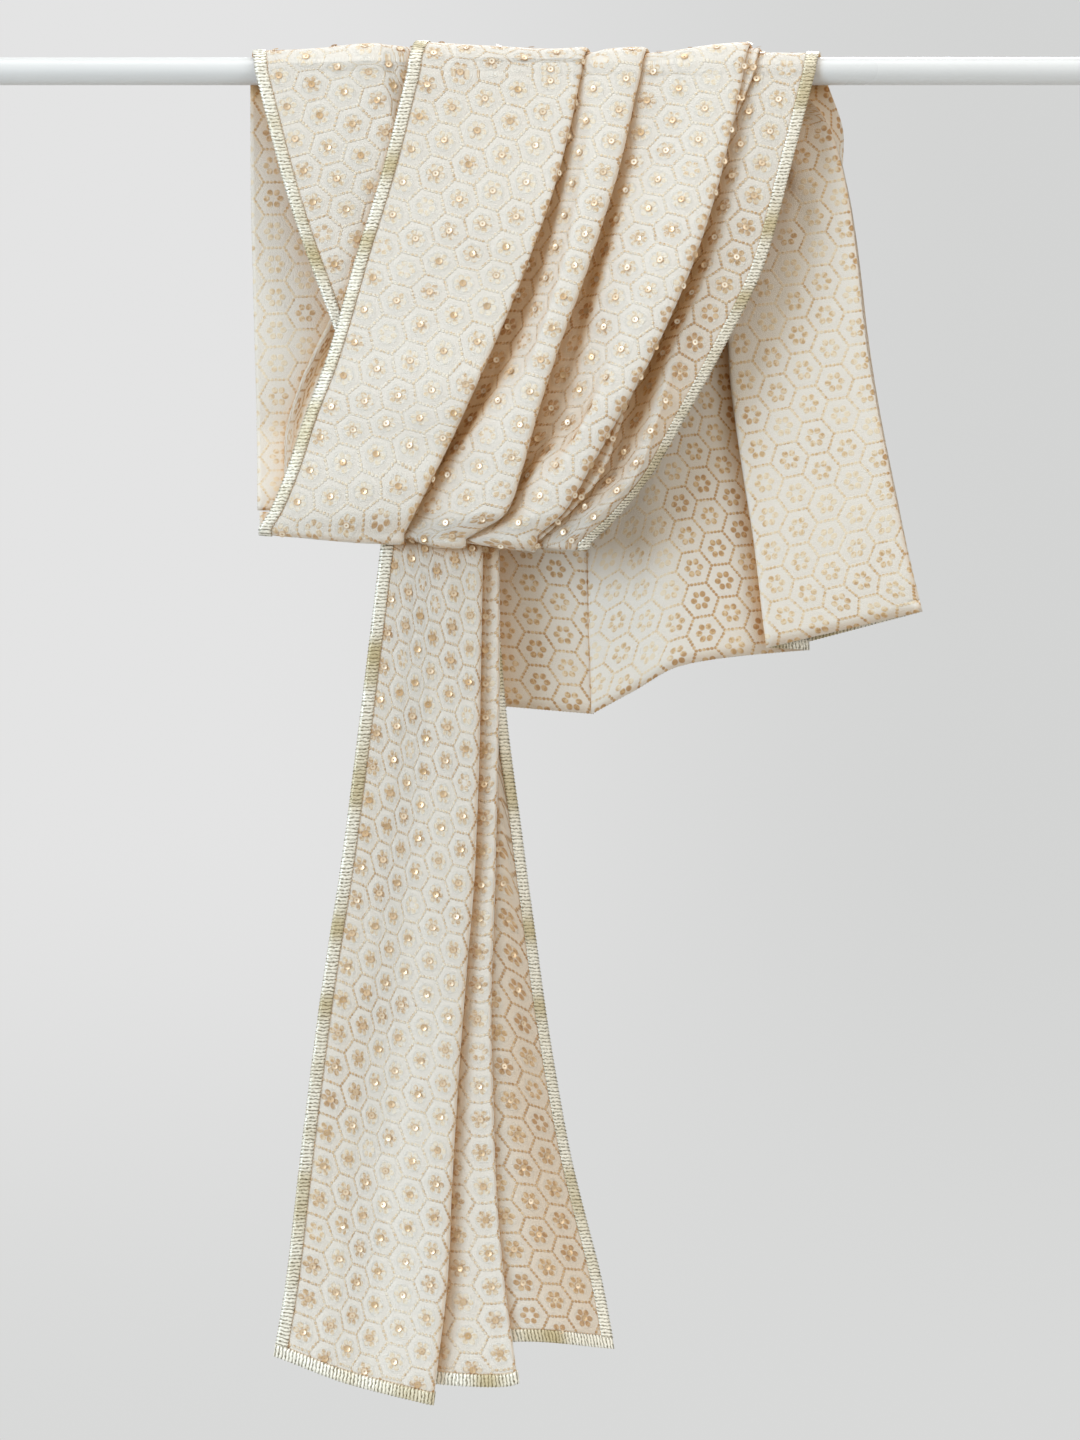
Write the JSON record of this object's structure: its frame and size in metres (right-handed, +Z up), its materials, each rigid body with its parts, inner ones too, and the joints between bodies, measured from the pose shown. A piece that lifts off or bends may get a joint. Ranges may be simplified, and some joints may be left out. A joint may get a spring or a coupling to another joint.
{
  "type": "dupatta stole on rail",
  "caption": "Embroidered ivory dupatta stole hung from a round rail: a front end, a loop behind it, a gathered swag in front and a back end.",
  "frame": {"origin": "on the rail's axis, at the middle of its built length, where the rail is held", "axes": "X along the rail, to the right as seen from the front; Y to the back; Z up. The cloth hangs towards -Z and its front faces -Y"},
  "size_m": [0.96, 0.1019, 1.086],
  "materials": {
    "ivory_cloth": "matt ivory cloth with tan and gold thread work",
    "champagne_lace": "ribbed metallic woven lace, champagne gold",
    "white_rail": "smooth white paint"
  },
  "bodies": {
    "root": {"rail": "white_rail", "tail_front": "ivory_cloth", "loop_back": "ivory_cloth", "swag_front": "ivory_cloth", "back_end": "ivory_cloth", "lace_tail_left": "champagne_lace", "lace_tail_right": "champagne_lace", "lace_tail_hem": "champagne_lace", "lace_loop_left": "champagne_lace", "lace_swag_left": "champagne_lace", "lace_swag_right": "champagne_lace", "lace_back_left": "champagne_lace", "lace_back_right": "champagne_lace", "lace_back_hem": "champagne_lace"}
  },
  "joints": []
}
